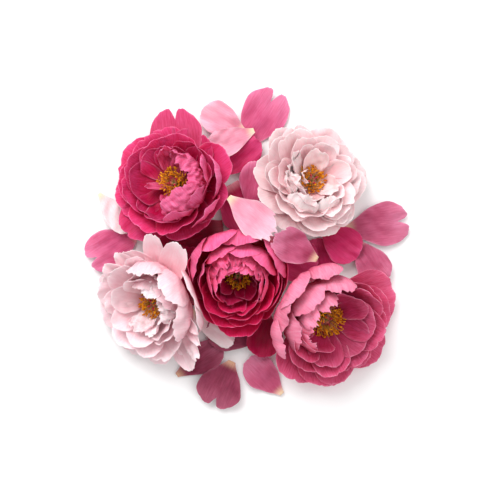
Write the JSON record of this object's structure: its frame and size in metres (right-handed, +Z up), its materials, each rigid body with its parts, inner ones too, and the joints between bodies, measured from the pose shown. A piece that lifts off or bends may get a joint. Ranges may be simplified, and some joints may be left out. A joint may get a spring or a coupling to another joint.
{
  "type": "bunch of peonies",
  "caption": "Round bunch of cut peony heads in crimson, rose and blush, face up and packed together, with loose petals lying under and between them.",
  "frame": {"origin": "on the surface the bunch lies on, under the middle of its bounding box", "axes": "+Z up, towards the open faces of the flowers; +Y towards the crimson and blush heads; +X towards the blush and rose heads"},
  "size_m": [0.3304, 0.3276, 0.079],
  "materials": {
    "crimson_petal": "satin",
    "blush_petal": "satin",
    "cerise_petal": "satin",
    "ivory_petal": "satin",
    "rose_petal": "satin",
    "loose_petal": "satin",
    "sepal": "matte",
    "stem": "matte",
    "stamen": "matte",
    "carpel": "matte"
  },
  "bodies": {
    "root": {"crimson_peony_guard_petals": "crimson_petal", "crimson_peony_outer_petals": "crimson_petal", "crimson_peony_inner_petals": "crimson_petal", "crimson_peony_calyx": "sepal", "crimson_peony_stem": "stem", "crimson_peony_stamens": "stamen", "crimson_peony_carpels": "carpel", "blush_peony_guard_petals": "blush_petal", "blush_peony_outer_petals": "blush_petal", "blush_peony_middle_petals": "blush_petal", "blush_peony_inner_petals": "blush_petal", "blush_peony_calyx": "sepal", "blush_peony_stem": "stem", "blush_peony_stamens": "stamen", "blush_peony_carpels": "carpel", "cerise_peony_guard_petals": "cerise_petal", "cerise_peony_outer_petals": "cerise_petal", "cerise_peony_middle_petals": "cerise_petal", "cerise_peony_inner_petals": "cerise_petal", "cerise_peony_calyx": "sepal", "cerise_peony_stem": "stem", "cerise_peony_stamens": "stamen", "cerise_peony_carpels": "carpel", "ivory_peony_guard_petals": "ivory_petal", "ivory_peony_outer_petals": "ivory_petal", "ivory_peony_inner_petals": "ivory_petal", "ivory_peony_calyx": "sepal", "ivory_peony_stem": "stem", "ivory_peony_stamens": "stamen", "ivory_peony_carpels": "carpel", "rose_peony_guard_petals": "rose_petal", "rose_peony_outer_petals": "rose_petal", "rose_peony_inner_petals": "rose_petal", "rose_peony_calyx": "sepal", "rose_peony_stem": "stem", "rose_peony_stamens": "stamen", "rose_peony_carpels": "carpel", "loose_petal_north": "loose_petal", "loose_petal_north_west": "loose_petal", "loose_petal_north_fold": "loose_petal", "loose_petal_north_inner": "loose_petal", "loose_petal_west_upper": "loose_petal", "loose_petal_west": "loose_petal", "loose_petal_south_west": "loose_petal", "loose_petal_south_east": "loose_petal", "loose_petal_south": "loose_petal", "loose_petal_south_inner": "loose_petal", "loose_petal_east": "loose_petal", "loose_petal_east_lower": "loose_petal", "loose_petal_east_inner": "loose_petal", "loose_petal_west_inner": "loose_petal", "loose_petal_middle_left": "loose_petal", "loose_petal_middle_upper": "loose_petal", "loose_petal_middle_right": "loose_petal", "loose_petal_north_middle": "loose_petal", "loose_petal_east_upper": "loose_petal", "loose_petal_south_middle": "loose_petal", "loose_petal_south_strap": "loose_petal", "loose_petal_top_upper": "loose_petal", "loose_petal_top_lower": "loose_petal"}
  },
  "joints": []
}
